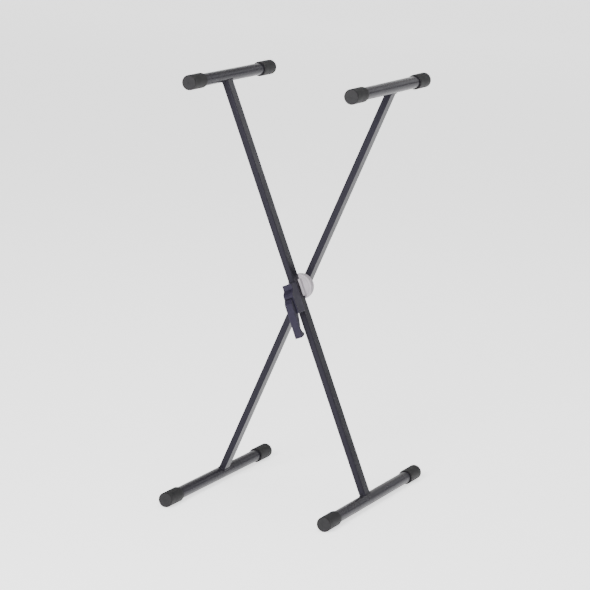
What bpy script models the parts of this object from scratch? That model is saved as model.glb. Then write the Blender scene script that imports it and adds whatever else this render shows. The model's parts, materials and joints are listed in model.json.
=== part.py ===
"""Folding single-X keyboard stand.

Two rectangular steel legs cross at a pivot bolt. Each leg carries a round support arm at
its top and a round foot bar at its bottom. A two-part hub holds the legs apart, and a lock
pin, drawn by a long release lever, drops into index holes in the rear hub.

Metres, +Z up. X is the way the legs spread, Y runs along the bars and the pivot bolt, and
the origin is on the floor under the pivot. Each leg has a frame of its own at the pivot:
its Z runs up the leg, its Y along the bolt, and its X across the leg.
"""

import math

import bmesh
import bpy
from mathutils import Matrix, Vector

# Stance
LEG_LENGTH = 1.020          # from the arm's axis to the foot bar's axis
SPREAD_ANGLE = math.radians(45.0)
GAP = 0.0003                # clearance between pieces that touch

# Leg tubes, and the room between them
LEG_WIDTH = 0.015
LEG_DEPTH = 0.030
LEG_WALL = 0.0015
LEG_CORNER = 0.0020
LEG_SPACING = 0.022         # from the front leg's back to the rear leg's front

# Round bars and their rubber caps
BAR_RADIUS = 0.014
BAR_WALL = 0.0015
ARM_LENGTH = 0.436          # over both caps
FOOT_LENGTH = 0.549         # over both caps
CAP_RADIUS = 0.01725
CAP_LENGTH = 0.062
CAP_FLOOR = 0.004
CAP_EDGE = 0.0030
BAR_SIDES = 34              # 4k + 2 sides put one facet flat on the floor

# Hub halves
HUB_RADIUS = 0.0295
HUB_EDGE = 0.0020
HUB_SPLIT = 0.0005          # running gap between the two halves
HUB_SIDES = 64
SADDLE_TOP = 0.018          # above the bolt's axis, along the leg
SADDLE_BOTTOM = -0.022
SADDLE_REACH = 0.011        # how far the saddle walls run along the leg's sides
SADDLE_WALL = 0.0050

# Pivot bolt, M8, with its washers, nut and sleeves
BOLT_RADIUS = 0.0040
HEX_RADIUS = 0.0075         # half the width across the corners
BOLT_HEAD_HEIGHT = 0.0053
NUT_HEIGHT = 0.0080
BOLT_END = 0.0020           # thread that shows past the nut
WASHER_RADIUS = 0.0080
WASHER_THICKNESS = 0.0016
SLIP_THICKNESS = 0.0015
THRUST_RADIUS = 0.0095
THRUST_THICKNESS = 0.0015

# Hub screws, countersunk in the hub's inner face
SCREW_OFFSET = 0.0140       # from the bolt's axis, along the leg
SCREW_RADIUS = 0.0015
SCREW_HEAD_RADIUS = 0.0028
SCREW_CONE = 0.0017
SCREW_BITE = 0.0045         # thread past the leg's wall

# Lock pin, its spring and its index holes
PIN_OFFSET = 0.022          # below the bolt's axis, along the front leg
PIN_RADIUS = 0.0025
PIN_NOSE = 0.0010
COLLAR_RADIUS = 0.0043
COLLAR_THICKNESS = 0.0020
PIN_HEAD_RADIUS = 0.0040
PIN_HEAD_THICKNESS = 0.0025
SPRING_LENGTH = 0.0092
SPRING_WIRE = 0.0004
SPRING_TURNS = 4.5
HOLE_DEPTH = 0.0080
HOLE_STEP = math.radians(20.0)
HOLES_CLOSED = 2            # settings narrower than the one shown
HOLES_OPEN = 3              # settings wider than the one shown

# Lever housing on the front leg, as heights along the leg and depths in front of it
HOUSING_WIDTH = 0.024
HOUSING_WALL = 0.0025
HOUSING_TOP = 0.0140
HOUSING_BOTTOM = -0.055
BROW_DEPTH = 0.0290         # front of the housing's upper part
BROW_BOTTOM = 0.0015        # where its front starts to slant outwards
SLANT_DEPTH = 0.0385
SLANT_BOTTOM = -0.0060
HOUSING_DEPTH = 0.0405
HOUSING_SHOULDER = -0.0120  # where the front reaches its full depth
MOUTH_TOP = -0.0175         # top of the slot that the lever comes out of
BRIDGE_WALL = 0.0020
BRIDGE_HEIGHT = 0.0160
HOUSING_SCREW_HEIGHT = -0.048
HOUSING_SCREW_HEAD = 0.0024

# Release lever
LEVER_CLEARANCE = 0.0005
LEVER_FREE_PLAY = 0.0008    # between the fork and the lock pin's head
FORK_THICKNESS = 0.0035
FORK_TOP = -0.015
FORK_SLOT_BOTTOM = -0.0275
FORK_ROOT = -0.0290         # where the fork meets the lever's body
HEAD_ROOM_DEPTH = 0.0335    # hollow in the lever for the lock pin's head
HEAD_ROOM_BOTTOM = -0.0275
LEVER_TOP = -0.0185
LEVER_TOP_BACK = 0.0355
LEVER_TOP_FRONT = 0.0465
LEVER_SHOULDER = -0.0285    # where the slanted top reaches the long front
FULCRUM_DEPTH = 0.034
FULCRUM_HEIGHT = -0.040
FULCRUM_RADIUS = 0.0020
LEVER_FRONT = 0.0530        # at the shoulder
LEVER_TIP_FRONT = 0.0545
LEVER_TIP = -0.1090
LEVER_BACK = ((0.0420, -0.1063), (0.0385, -0.1045), (0.0370, -0.1025), (0.0370, -0.1005),
              (0.0430, -0.0965), (0.0465, -0.0910), (0.0473, -0.0885), (0.0312, -0.0490))
LEVER_HEEL = -0.0340        # where the back meets the fork

# Places worked out from the sizes above
HALF_ANGLE = SPREAD_ANGLE / 2
FLOOR_TO_BAR = CAP_RADIUS * math.cos(math.pi / BAR_SIDES)
PIVOT_HEIGHT = LEG_LENGTH / 2 * math.cos(HALF_ANGLE) + FLOOR_TO_BAR
LEG_FACE = LEG_SPACING / 2
LEG_FAR_FACE = LEG_FACE + LEG_DEPTH
HUB_INNER = HUB_SPLIT / 2
HUB_OUTER = LEG_FACE - GAP
HOUSING_BACK = LEG_FAR_FACE + GAP
HOUSING_FLOOR = HOUSING_BACK + HOUSING_WALL
BORE_RADIUS = BOLT_RADIUS + GAP
PIN_BORE = PIN_RADIUS + GAP
COLLAR_START = HOUSING_FLOOR + GAP
SPRING_START = COLLAR_START + COLLAR_THICKNESS + GAP
BRIDGE_START = SPRING_START + SPRING_LENGTH + GAP
FORK_START = BRIDGE_START + BRIDGE_WALL + 0.0035
PIN_HEAD_START = FORK_START + FORK_THICKNESS + LEVER_FREE_PLAY

COLOURS = {
    "steel_paint": ((0.030, 0.029, 0.033), 0.45, 0.0),
    "rubber": ((0.022, 0.022, 0.023), 0.80, 0.0),
    "hub_plastic": ((0.46, 0.44, 0.46), 0.45, 0.0),
    "black_plastic": ((0.032, 0.031, 0.037), 0.50, 0.0),
    "zinc": ((0.62, 0.62, 0.64), 0.30, 1.0),
    "nylon": ((0.75, 0.74, 0.70), 0.55, 0.0),
}


def clear_scene():
    """Remove what the scene holds."""
    for item in list(bpy.data.objects):
        bpy.data.objects.remove(item, do_unlink=True)


def new_collection(name):
    """Return a new collection in the scene."""
    made = bpy.data.collections.new(name)
    bpy.context.scene.collection.children.link(made)
    return made


def new_material(name, finish):
    """Return a material for one piece in one of the named finishes."""
    colour, roughness, metallic = COLOURS[finish]
    made = bpy.data.materials.new(name)
    made.use_nodes = True
    shader = made.node_tree.nodes["Principled BSDF"]
    shader.inputs["Base Color"].default_value = (*colour, 1.0)
    shader.inputs["Roughness"].default_value = roughness
    shader.inputs["Metallic"].default_value = metallic
    return made


class Bench:
    """Makes pieces and cutters in one leg's frame.

    side is -1 for the front leg and +1 for the rear one, and heights of turned pieces are
    measured from the mid plane between the legs towards that leg.
    """

    def __init__(self, frame, side, pieces, cutters):
        self.frame = frame
        self.side = side
        self.pieces = pieces
        self.cutters = cutters

    def add(self, name, mesh, finish, location=(0, 0, 0), turn=None):
        """Add a mesh as a piece, or as a cutter where it has no finish."""
        item = bpy.data.objects.new(name, mesh)
        item.parent = self.frame
        item.location = location
        if turn is not None:
            item.rotation_euler = turn
        if finish is None:
            item.hide_render = True
            item.display_type = "WIRE"
            self.cutters.objects.link(item)
        else:
            mesh.materials.append(new_material(name, finish))
            self.pieces.objects.link(item)
        return item

    def turned(self, name, profile, finish, place=(0, 0), sides=32, closed=False):
        """Turn a profile of (radius, height) round an axis along Y.

        The profile runs down its outer side, from the greatest height to the least.
        """
        mesh = bpy.data.meshes.new(name)
        points = [(radius, 0, height) for radius, height in profile]
        edges = [(i, i + 1) for i in range(len(points) - 1)]
        if closed:
            edges.append((len(points) - 1, 0))
        mesh.from_pydata(points, edges, [])
        turn = (-self.side * math.pi / 2, 0, 0)
        item = self.add(name, mesh, finish, (place[0], 0, place[1]), turn)
        screw = item.modifiers.new("Turn", "SCREW")
        screw.steps = sides
        screw.render_steps = sides
        screw.use_merge_vertices = True
        screw.merge_threshold = 0.00001
        screw.use_normal_calculate = False
        return item

    def ring(self, name, inner, outer, low, high, finish, place=(0, 0), sides=32):
        """A washer, sleeve or bush between two heights."""
        profile = [(inner, high), (outer, high), (outer, low), (inner, low)]
        return self.turned(name, profile, finish, place, sides, closed=True)

    def rod(self, name, radius, low, high, finish, place=(0, 0), sides=32):
        """A plain round rod between two heights."""
        profile = [(0, high), (radius, high), (radius, low), (0, low)]
        return self.turned(name, profile, finish, place, sides)

    def block(self, name, x_span, height_span, z_span, finish):
        """A box from its spans across the leg, away from the mid plane and along the leg."""
        mesh = bpy.data.meshes.new(name)
        work = bmesh.new()
        bmesh.ops.create_cube(work, size=1.0)
        y_span = sorted(self.side * height for height in height_span)
        spans = (x_span, y_span, z_span)
        size = [high - low for low, high in spans]
        middle = [(high + low) / 2 for low, high in spans]
        bmesh.ops.scale(work, vec=size, verts=work.verts)
        work.to_mesh(mesh)
        work.free()
        return self.add(name, mesh, finish, middle)

    def side_plate(self, name, outline, width, finish, origin=(0, 0)):
        """Extrude an outline of (depth from the mid plane, height along the leg) across the leg.

        origin is the (depth, height) of the new object's origin.
        """
        curve = bpy.data.curves.new(name, "CURVE")
        curve.dimensions = "2D"
        curve.fill_mode = "BOTH"
        curve.extrude = width / 2
        spline = curve.splines.new("POLY")
        spline.points.add(len(outline) - 1)
        spline.use_cyclic_u = True
        for point, (depth, height) in zip(spline.points, outline):
            point.co = (depth - origin[0], height - origin[1], 0, 1)
        drawn = bpy.data.objects.new(name + "_outline", curve)
        self.cutters.objects.link(drawn)
        bpy.context.view_layer.update()
        graph = bpy.context.evaluated_depsgraph_get()
        mesh = bpy.data.meshes.new_from_object(drawn.evaluated_get(graph))
        bpy.data.objects.remove(drawn, do_unlink=True)
        across = Vector((self.side, 0, 0))
        along = Vector((0, 0, 1))
        outward = Vector((0, self.side, 0))
        mesh.transform(Matrix((outward, along, across)).transposed().to_4x4())
        work = bmesh.new()
        work.from_mesh(mesh)
        bmesh.ops.remove_doubles(work, verts=work.verts, dist=0.00001)
        bmesh.ops.recalc_face_normals(work, faces=work.faces)
        work.to_mesh(mesh)
        work.free()
        mesh.name = name
        return self.add(name, mesh, finish, (0, self.side * origin[0], origin[1]))


def cut(item, cutter, operation="DIFFERENCE"):
    """Cut one object with another, or join them where the operation is UNION."""
    boolean = item.modifiers.new(cutter.name, "BOOLEAN")
    boolean.operation = operation
    boolean.solver = "EXACT"
    boolean.object = cutter
    return boolean


def smooth(item):
    """Shade a round piece smooth, with its edges sharp."""
    item.data.shade_smooth()
    item.data.set_sharp_from_angle(angle=math.radians(35))


def rectangular_tube(name, width, depth, length, wall, corner, bench):
    """An open rectangular tube along Z, centred on its frame's origin."""
    mesh = bpy.data.meshes.new(name)
    work = bmesh.new()
    bmesh.ops.create_cube(work, size=1.0)
    bmesh.ops.scale(work, vec=(width, depth, length), verts=work.verts)
    ends = [face for face in work.faces if abs(face.normal.z) > 0.9]
    bmesh.ops.delete(work, geom=ends, context="FACES_ONLY")
    long_edges = [e for e in work.edges if abs(e.verts[0].co.z - e.verts[1].co.z) > length / 2]
    bmesh.ops.bevel(work, geom=long_edges, offset=corner, offset_type="OFFSET", segments=3,
                    profile=0.5, affect="EDGES", clamp_overlap=True, material=-1)
    work.to_mesh(mesh)
    work.free()
    middle = (0, bench.side * (LEG_FACE + depth / 2), 0)
    tube = bench.add(name, mesh, "steel_paint", middle)
    shell = tube.modifiers.new("Wall", "SOLIDIFY")
    shell.thickness = wall
    shell.offset = -1.0
    shell.use_even_offset = True
    return tube


def round_tube(name, radius, length, wall, height, bench):
    """An open round tube along Y at a height along the leg, with a facet facing straight down."""
    mesh = bpy.data.meshes.new(name)
    work = bmesh.new()
    bmesh.ops.create_cone(work, cap_ends=False, segments=BAR_SIDES, radius1=radius,
                          radius2=radius, depth=length)
    work.to_mesh(mesh)
    work.free()
    mesh.transform(Matrix.Rotation(math.pi / 2, 4, "X"))
    level = (0, -bench.frame.rotation_euler.y, 0)
    tube = bench.add(name, mesh, "steel_paint", (0, 0, height), level)
    shell = tube.modifiers.new("Wall", "SOLIDIFY")
    shell.thickness = wall
    shell.offset = -1.0
    shell.use_even_offset = True
    smooth(tube)
    return tube


def end_cap(name, end, overall_length, height, bench):
    """A rubber cup on one end of a bar; end is -1 for the near end and +1 for the far one."""
    mesh = bpy.data.meshes.new(name)
    tip = overall_length / 2
    mouth = tip - CAP_LENGTH
    floor = tip - CAP_FLOOR
    bore = BAR_RADIUS + GAP
    profile = [(0, tip), (CAP_RADIUS - CAP_EDGE, tip)]
    for step in range(1, 4):
        angle = step / 3 * math.pi / 2
        inset = CAP_EDGE * (1 - math.sin(angle))
        profile.append((CAP_RADIUS - inset, tip - CAP_EDGE * (1 - math.cos(angle))))
    profile += [(CAP_RADIUS, mouth), (bore, mouth), (bore, floor), (0, floor)]
    points = [(radius, 0, distance) for radius, distance in profile]
    edges = [(i, i + 1) for i in range(len(points) - 1)]
    mesh.from_pydata(points, edges, [])
    turn = (-end * math.pi / 2, 0, 0)
    cap = bench.add(name, mesh, "rubber", (0, 0, height))
    level = Matrix.Rotation(-bench.frame.rotation_euler.y, 4, "Y")
    outward = Matrix.Rotation(turn[0], 4, "X")
    cap.matrix_local = Matrix.Translation((0, 0, height)) @ level @ outward
    screw = cap.modifiers.new("Turn", "SCREW")
    screw.steps = BAR_SIDES
    screw.render_steps = BAR_SIDES
    screw.use_merge_vertices = True
    screw.merge_threshold = 0.00001
    return cap


def bar_with_caps(name, overall_length, height, bench):
    """A round bar across one end of a leg, with a cap on each end."""
    length = overall_length - 2 * (CAP_FLOOR + GAP)
    round_tube(name, BAR_RADIUS, length, BAR_WALL, height, bench)
    end_cap(name + "_cap_near", -1, overall_length, height, bench)
    end_cap(name + "_cap_far", +1, overall_length, height, bench)


def countersunk_profile(clearance):
    """Hub screw outline, or its hole where a clearance is given."""
    head_face = HUB_INNER + GAP - clearance
    end = LEG_FACE + LEG_WALL + SCREW_BITE + clearance
    cone_end = HUB_INNER + GAP + SCREW_CONE + clearance
    head = SCREW_HEAD_RADIUS + clearance
    shank = SCREW_RADIUS + clearance
    return [(0, end), (shank, end), (shank, cone_end), (head, head_face), (0, head_face)]


def leg(name, bench):
    """A leg tube with coped ends and a bore for the bolt."""
    tube = rectangular_tube(name, LEG_WIDTH, LEG_DEPTH, LEG_LENGTH, LEG_WALL, LEG_CORNER, bench)
    for place, height in (("top", LEG_LENGTH / 2), ("foot", -LEG_LENGTH / 2)):
        mesh = bpy.data.meshes.new("cope")
        work = bmesh.new()
        bmesh.ops.create_cone(work, cap_ends=True, segments=BAR_SIDES, radius1=BAR_RADIUS + GAP,
                              radius2=BAR_RADIUS + GAP, depth=4 * LEG_FAR_FACE)
        work.to_mesh(mesh)
        work.free()
        mesh.transform(Matrix.Rotation(math.pi / 2, 4, "X"))
        level = (0, -bench.frame.rotation_euler.y, 0)
        cut(tube, bench.add(f"{name}_{place}_cope", mesh, None, (0, 0, height), level))
    cut(tube, bench.rod(name + "_bore", BORE_RADIUS, LEG_FACE - 0.002, LEG_FAR_FACE + 0.002, None))
    for place in (SCREW_OFFSET, -SCREW_OFFSET):
        hole = bench.rod(f"{name}_screw_hole", SCREW_RADIUS + GAP, HUB_OUTER - 0.001,
                         LEG_FACE + LEG_WALL + 0.001, None, (0, place), sides=16)
        cut(tube, hole)
    sleeve_low = LEG_FACE + LEG_WALL + GAP
    sleeve_high = LEG_FAR_FACE - LEG_WALL - GAP
    sleeve_radius = LEG_WIDTH / 2 - LEG_WALL - GAP
    bench.ring(name.replace("leg", "sleeve"), BORE_RADIUS, sleeve_radius, sleeve_low, sleeve_high, "zinc")
    return tube


def hub_half(name, bench):
    """One half of the hub: a disc with a saddle round its leg."""
    recess_floor = THRUST_THICKNESS / 2 + GAP
    recess_radius = THRUST_RADIUS + GAP
    profile = [
        (BORE_RADIUS, HUB_OUTER), (HUB_RADIUS - HUB_EDGE, HUB_OUTER),
        (HUB_RADIUS, HUB_OUTER - HUB_EDGE), (HUB_RADIUS, HUB_INNER),
        (recess_radius, HUB_INNER), (recess_radius, recess_floor), (BORE_RADIUS, recess_floor),
    ]
    hub = bench.turned(name, profile, "hub_plastic", sides=HUB_SIDES, closed=True)
    inner = LEG_WIDTH / 2 + GAP
    outer = inner + SADDLE_WALL
    depth_span = ((HUB_INNER + HUB_OUTER) / 2, LEG_FACE + SADDLE_REACH)
    height_span = (SADDLE_BOTTOM, SADDLE_TOP)
    for across in ((-outer, -inner), (inner, outer)):
        cut(hub, bench.block(name + "_saddle", across, depth_span, height_span, None), "UNION")
    cut(hub, bench.rod(name + "_bore", BORE_RADIUS, recess_floor - 0.0002, HUB_OUTER + 0.001, None))
    for place, height in (("upper", SCREW_OFFSET), ("lower", -SCREW_OFFSET)):
        cut(hub, bench.turned(f"{name}_{place}_hole", countersunk_profile(GAP), None, (0, height), 16))
        bench.turned(f"{name}_screw_{place}", countersunk_profile(0), "zinc", (0, height), 16)
    return hub


def index_holes(hub, bench):
    """Blind holes in the rear hub, one for each spread that the lock pin can hold."""
    for count in range(-HOLES_CLOSED, HOLES_OPEN + 1):
        angle = SPREAD_ANGLE + count * HOLE_STEP
        place = (PIN_OFFSET * math.sin(angle), -PIN_OFFSET * math.cos(angle))
        hole = bench.rod("index_hole", PIN_BORE, HUB_INNER - 0.001, HUB_INNER + HOLE_DEPTH, None,
                         place, sides=20)
        cut(hub, hole)


def lever_housing(bench):
    """Plastic housing on the front leg, open at its foot and low on its front."""
    face = LEG_FAR_FACE
    outline = [
        (HOUSING_BACK, HOUSING_TOP), (face + BROW_DEPTH, HOUSING_TOP),
        (face + BROW_DEPTH, BROW_BOTTOM), (face + SLANT_DEPTH, SLANT_BOTTOM),
        (face + HOUSING_DEPTH, HOUSING_SHOULDER), (face + HOUSING_DEPTH, HOUSING_BOTTOM),
        (HOUSING_BACK, HOUSING_BOTTOM),
    ]
    shell = bench.side_plate("lever_housing", outline, HOUSING_WIDTH, "black_plastic")
    ceiling = HOUSING_TOP - HOUSING_WALL
    past = 0.01
    inside = face - HOUSING_WALL
    lower = HOUSING_WALL * 0.6
    room = [
        (HOUSING_FLOOR, ceiling), (inside + BROW_DEPTH, ceiling),
        (inside + BROW_DEPTH, BROW_BOTTOM - lower), (inside + SLANT_DEPTH, SLANT_BOTTOM - lower),
        (inside + HOUSING_DEPTH, HOUSING_SHOULDER), (inside + HOUSING_DEPTH, MOUTH_TOP),
        (face + HOUSING_DEPTH + past, MOUTH_TOP), (face + HOUSING_DEPTH + past, HOUSING_BOTTOM - past),
        (HOUSING_FLOOR, HOUSING_BOTTOM - past),
    ]
    room_width = HOUSING_WIDTH - 2 * HOUSING_WALL
    cut(shell, bench.side_plate("housing_room", room, room_width, None))
    half = room_width / 2 + HOUSING_WALL / 2
    bridge = bench.block("housing_bridge", (-half, half), (BRIDGE_START, BRIDGE_START + BRIDGE_WALL),
                         (-PIN_OFFSET - BRIDGE_HEIGHT / 2, -PIN_OFFSET + BRIDGE_HEIGHT / 2), None)
    cut(shell, bridge, "UNION")
    cut(shell, bench.rod("housing_pin_bore", PIN_BORE, HOUSING_BACK - 0.001,
                         BRIDGE_START + BRIDGE_WALL + 0.001, None, (0, -PIN_OFFSET)))
    cut(shell, bench.rod("housing_bolt_bore", BORE_RADIUS, HOUSING_BACK - 0.001,
                         HOUSING_FLOOR + 0.001, None))
    cut(shell, bench.rod("housing_screw_bore", SCREW_RADIUS + GAP, HOUSING_BACK - 0.001,
                         HOUSING_FLOOR + 0.001, None, (0, HOUSING_SCREW_HEIGHT), 16))
    cut(shell, cross_bore("housing_fulcrum_bore", HOUSING_WIDTH + 0.01, bench))
    return shell


def cross_bore(name, width, bench):
    """Cutter for the fulcrum pin, across the leg."""
    return cross_rod(name, FULCRUM_RADIUS + GAP, width, None, bench)


def cross_rod(name, radius, width, finish, bench):
    """A round rod across the leg at the lever's fulcrum."""
    mesh = bpy.data.meshes.new(name)
    work = bmesh.new()
    bmesh.ops.create_cone(work, cap_ends=True, segments=24, radius1=radius, radius2=radius,
                          depth=width)
    work.to_mesh(mesh)
    work.free()
    mesh.transform(Matrix.Rotation(math.pi / 2, 4, "Y"))
    depth = LEG_FAR_FACE + FULCRUM_DEPTH
    item = bench.add(name, mesh, finish, (0, bench.side * depth, FULCRUM_HEIGHT))
    smooth(item)
    return item


def release_lever(bench):
    """Long lever on the fulcrum pin, forked round the lock pin at its top."""
    face = LEG_FAR_FACE
    fork_front = FORK_START + FORK_THICKNESS
    outline = [
        (FORK_START, FORK_TOP), (fork_front, FORK_TOP), (fork_front, FORK_ROOT),
        (face + HEAD_ROOM_DEPTH, HEAD_ROOM_BOTTOM), (face + LEVER_TOP_BACK, LEVER_TOP),
        (face + LEVER_TOP_FRONT, LEVER_TOP), (face + LEVER_FRONT, LEVER_SHOULDER),
        (face + LEVER_TIP_FRONT, LEVER_TIP),
    ]
    outline += [(face + depth, height) for depth, height in LEVER_BACK]
    outline.append((FORK_START, LEVER_HEEL))
    width = HOUSING_WIDTH - 2 * HOUSING_WALL - 2 * LEVER_CLEARANCE
    origin = (face + FULCRUM_DEPTH, FULCRUM_HEIGHT)
    lever = bench.side_plate("release_lever", outline, width, "black_plastic", origin)
    slot_half = PIN_RADIUS + LEVER_CLEARANCE
    slot = bench.block("fork_slot", (-slot_half, slot_half), (FORK_START - 0.002, fork_front + 0.006),
                       (FORK_SLOT_BOTTOM, FORK_TOP + 0.002), None)
    cut(lever, slot)
    cut(lever, cross_bore("lever_fulcrum_bore", HOUSING_WIDTH + 0.01, bench))
    cross_rod("lever_pin", FULCRUM_RADIUS, HOUSING_WIDTH - 0.0006, "zinc", bench)
    return lever


def lock_pin(bench):
    """Turned pin: nose, seat for the spring, and a head that the lever's fork pulls."""
    low = HUB_INNER + GAP
    collar_end = COLLAR_START + COLLAR_THICKNESS
    head_end = PIN_HEAD_START + PIN_HEAD_THICKNESS
    profile = [
        (0, head_end), (PIN_HEAD_RADIUS, head_end), (PIN_HEAD_RADIUS, PIN_HEAD_START),
        (PIN_RADIUS, PIN_HEAD_START), (PIN_RADIUS, collar_end), (COLLAR_RADIUS, collar_end),
        (COLLAR_RADIUS, COLLAR_START), (PIN_RADIUS, COLLAR_START), (PIN_RADIUS, low + PIN_NOSE),
        (PIN_RADIUS - PIN_NOSE / 2, low), (0, low),
    ]
    return bench.turned("lock_pin", profile, "zinc", (0, -PIN_OFFSET), 24)


def lock_spring(bench):
    """Compression spring round the lock pin, between its collar and the housing's bridge."""
    curve = bpy.data.curves.new("lock_spring", "CURVE")
    curve.dimensions = "3D"
    curve.bevel_depth = SPRING_WIRE
    curve.bevel_resolution = 1
    curve.use_fill_caps = True
    points_per_turn = 12
    count = round(SPRING_TURNS * points_per_turn)
    radius = (PIN_RADIUS + GAP + COLLAR_RADIUS) / 2
    low = SPRING_START + SPRING_WIRE
    rise = SPRING_LENGTH - 2 * SPRING_WIRE
    spline = curve.splines.new("POLY")
    spline.points.add(count)
    for index, point in enumerate(spline.points):
        angle = 2 * math.pi * index / points_per_turn
        height = low + rise * index / count
        point.co = (radius * math.cos(angle), bench.side * height, radius * math.sin(angle), 1)
    spring = bpy.data.objects.new("lock_spring", curve)
    spring.parent = bench.frame
    spring.location = (0, 0, -PIN_OFFSET)
    curve.materials.append(new_material("lock_spring", "zinc"))
    bench.pieces.objects.link(spring)
    return spring


def hexagon(name, low, high, bench):
    """A hexagonal cutter or body between two heights on the bolt's axis."""
    return bench.rod(name, HEX_RADIUS, low, high, None, sides=6)


def pivot_bolt(front):
    """Bolt through both legs, with its head in the housing, its washers and its nut."""
    washer_low = HOUSING_FLOOR + GAP
    front.ring("head_washer", BORE_RADIUS, WASHER_RADIUS, washer_low, washer_low + WASHER_THICKNESS, "zinc")
    head_low = washer_low + WASHER_THICKNESS + GAP
    slip_low = LEG_FAR_FACE + GAP
    slip_high = slip_low + SLIP_THICKNESS
    washer_back = slip_high + GAP
    nut_low = washer_back + WASHER_THICKNESS + GAP
    nut_high = nut_low + NUT_HEIGHT
    front.ring("slip_washer", BORE_RADIUS, WASHER_RADIUS, -slip_high, -slip_low, "nylon")
    front.ring("nut_washer", BORE_RADIUS, WASHER_RADIUS, -washer_back - WASHER_THICKNESS,
               -washer_back, "zinc")
    nut = front.rod("pivot_nut", HEX_RADIUS, -nut_high, -nut_low, "zinc", sides=6)
    cut(nut, front.rod("nut_bore", BORE_RADIUS, -nut_high - 0.001, -nut_low + 0.001, None))
    bolt = front.rod("pivot_bolt", BOLT_RADIUS, -nut_high - BOLT_END, head_low + 0.001, "zinc")
    cut(bolt, hexagon("bolt_head", head_low, head_low + BOLT_HEAD_HEIGHT, front), "UNION")
    front.ring("thrust_washer", BORE_RADIUS, THRUST_RADIUS, -THRUST_THICKNESS / 2,
               THRUST_THICKNESS / 2, "nylon")


def housing_screw(bench):
    """Pan head screw from inside the housing into the front leg."""
    head_low = HOUSING_FLOOR + GAP
    head_high = head_low + HOUSING_SCREW_HEAD
    end = LEG_FAR_FACE - LEG_WALL - SCREW_BITE
    profile = [(0, head_high), (SCREW_HEAD_RADIUS, head_high), (SCREW_HEAD_RADIUS, head_low),
               (SCREW_RADIUS, head_low), (SCREW_RADIUS, end), (0, end)]
    return bench.turned("housing_screw", profile, "zinc", (0, HOUSING_SCREW_HEIGHT), 16)


def leg_frame(name, tilt):
    """Empty at the pivot whose Z runs up one leg."""
    frame = bpy.data.objects.new(name, None)
    frame.location = (0, 0, PIVOT_HEIGHT)
    frame.rotation_euler = (0, tilt, 0)
    bpy.context.scene.collection.objects.link(frame)
    return frame


def front_side(pieces, cutters):
    """Front leg with its bars, hub half, pivot bolt, housing, lever and lock pin."""
    bench = Bench(leg_frame("front_frame", -HALF_ANGLE), -1, pieces, cutters)
    tube = leg("front_leg", bench)
    cut(tube, bench.rod("leg_pin_bore", PIN_BORE, LEG_FACE - 0.002, LEG_FAR_FACE + 0.002, None,
                        (0, -PIN_OFFSET)))
    cut(tube, bench.rod("leg_housing_screw_hole", SCREW_RADIUS + GAP, LEG_FAR_FACE - LEG_WALL - 0.001,
                        LEG_FAR_FACE + 0.001, None, (0, HOUSING_SCREW_HEIGHT), 16))
    bar_with_caps("front_arm", ARM_LENGTH, LEG_LENGTH / 2, bench)
    bar_with_caps("front_foot", FOOT_LENGTH, -LEG_LENGTH / 2, bench)
    hub = hub_half("hub_front", bench)
    cut(hub, bench.rod("hub_pin_bore", PIN_BORE, HUB_INNER - 0.001, HUB_OUTER + 0.001, None,
                       (0, -PIN_OFFSET)))
    pivot_bolt(bench)
    lever_housing(bench)
    housing_screw(bench)
    release_lever(bench)
    lock_pin(bench)
    lock_spring(bench)


def rear_side(pieces, cutters):
    """Rear leg with its bars and its hub half."""
    bench = Bench(leg_frame("rear_frame", HALF_ANGLE), +1, pieces, cutters)
    leg("rear_leg", bench)
    bar_with_caps("rear_arm", ARM_LENGTH, LEG_LENGTH / 2, bench)
    bar_with_caps("rear_foot", FOOT_LENGTH, -LEG_LENGTH / 2, bench)
    index_holes(hub_half("hub_rear", bench), bench)


def main():
    """Build the keyboard stand."""
    clear_scene()
    pieces = new_collection("keyboard_stand")
    cutters = new_collection("cutters")
    front_side(pieces, cutters)
    rear_side(pieces, cutters)
    bpy.context.view_layer.update()


main()
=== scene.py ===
"""Looks of a folding X-frame keyboard stand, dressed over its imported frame.

Metres, +Z up. Each leg has a frame of its own at the pivot bolt: x runs across the leg, y along
the bolt and z up the leg. Depths are measured along the bolt from the mid plane between the
legs, towards the leg that a piece belongs to.
"""

import json
import logging
import math
from dataclasses import dataclass
from enum import Enum
from typing import Any, Sequence

import bmesh
import bpy
from mathutils import Matrix, Vector

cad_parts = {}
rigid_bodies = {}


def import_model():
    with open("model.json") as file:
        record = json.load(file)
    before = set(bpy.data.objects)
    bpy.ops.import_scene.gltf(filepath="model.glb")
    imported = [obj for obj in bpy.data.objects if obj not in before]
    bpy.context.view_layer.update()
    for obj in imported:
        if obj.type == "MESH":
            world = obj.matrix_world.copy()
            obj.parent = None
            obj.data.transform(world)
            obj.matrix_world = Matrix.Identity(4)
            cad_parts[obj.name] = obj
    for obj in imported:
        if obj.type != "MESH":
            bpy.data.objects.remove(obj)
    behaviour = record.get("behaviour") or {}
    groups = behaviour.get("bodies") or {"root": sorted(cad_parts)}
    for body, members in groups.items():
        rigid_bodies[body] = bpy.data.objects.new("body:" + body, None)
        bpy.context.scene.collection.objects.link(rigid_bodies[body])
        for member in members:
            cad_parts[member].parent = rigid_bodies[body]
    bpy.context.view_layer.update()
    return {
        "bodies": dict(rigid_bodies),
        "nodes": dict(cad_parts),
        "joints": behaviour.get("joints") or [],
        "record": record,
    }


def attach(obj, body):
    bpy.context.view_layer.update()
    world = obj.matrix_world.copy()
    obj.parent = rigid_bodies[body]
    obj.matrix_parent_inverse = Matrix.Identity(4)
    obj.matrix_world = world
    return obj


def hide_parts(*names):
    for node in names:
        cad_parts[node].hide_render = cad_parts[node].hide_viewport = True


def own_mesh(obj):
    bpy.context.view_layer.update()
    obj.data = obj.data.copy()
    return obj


LOG = logging.getLogger("keyboard_stand")
Pair = tuple[float, float]
Triple = tuple[float, float, float]

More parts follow.
